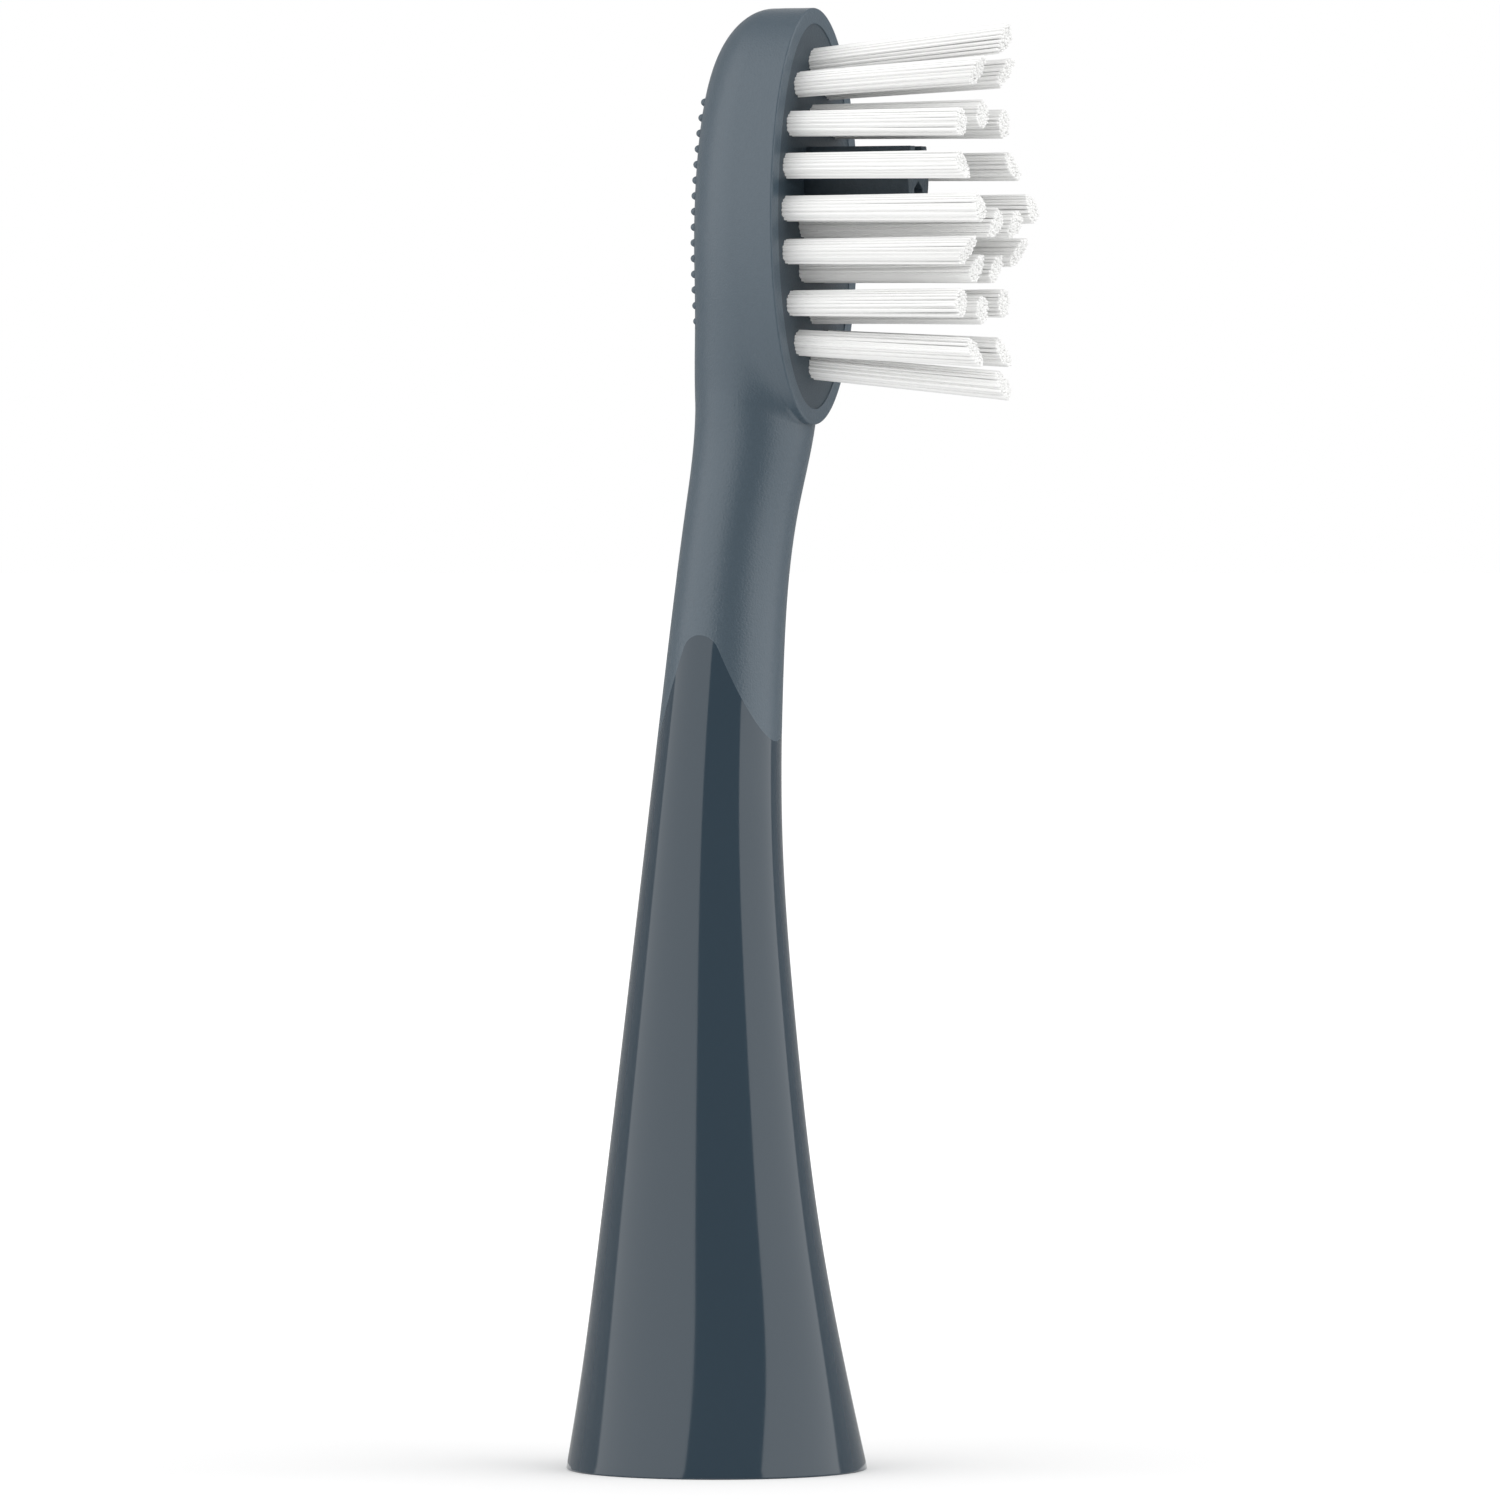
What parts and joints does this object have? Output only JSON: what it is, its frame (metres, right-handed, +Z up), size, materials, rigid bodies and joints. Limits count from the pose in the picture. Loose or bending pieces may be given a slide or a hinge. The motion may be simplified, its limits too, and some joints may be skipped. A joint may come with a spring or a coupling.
{
  "type": "electric toothbrush head",
  "caption": "Sonic toothbrush replacement head: flared socket skirt, soft-sleeved neck, oval bristle plate with nylon tufts, rubber polishing fins and a nubbed back.",
  "frame": {"origin": "on the drive axis, in the plane of the standing rim of the skirt", "axes": "+Z up the drive axis towards the bristle end, -Y the way the bristles point"},
  "size_m": [0.016, 0.0252, 0.0774],
  "materials": {
    "gloss_shell": "moulded polypropylene, high gloss, dark slate blue",
    "soft_overmould": "soft thermoplastic elastomer, fine matt, slate blue",
    "fin_rubber": "soft thermoplastic elastomer, matt, dark slate",
    "bristle_nylon": "white nylon filaments, satin",
    "socket_plastic": "acetal, satin, dark grey",
    "spring_steel": "stainless spring strip",
    "anchor_metal": "drawn brass strip"
  },
  "bodies": {
    "root": {"brush_body": "gloss_shell", "drive_socket": "socket_plastic", "polishing_fins": "fin_rubber", "retaining_spring": "spring_steel", "soft_sleeve": "soft_overmould", "tuft_anchors": "anchor_metal", "tuft_inner_bottom": "bristle_nylon", "tuft_inner_lower_left": "bristle_nylon", "tuft_inner_lower_right": "bristle_nylon", "tuft_inner_top": "bristle_nylon", "tuft_inner_upper_left": "bristle_nylon", "tuft_inner_upper_right": "bristle_nylon", "tuft_ring_01": "bristle_nylon", "tuft_ring_02": "bristle_nylon", "tuft_ring_03": "bristle_nylon", "tuft_ring_04": "bristle_nylon", "tuft_ring_05": "bristle_nylon", "tuft_ring_06": "bristle_nylon", "tuft_ring_07": "bristle_nylon", "tuft_ring_08": "bristle_nylon", "tuft_ring_09": "bristle_nylon", "tuft_ring_10": "bristle_nylon", "tuft_ring_11": "bristle_nylon", "tuft_ring_12": "bristle_nylon", "tuft_ring_13": "bristle_nylon", "tuft_ring_14": "bristle_nylon", "tuft_ring_15": "bristle_nylon", "tuft_ring_16": "bristle_nylon"}
  },
  "joints": []
}
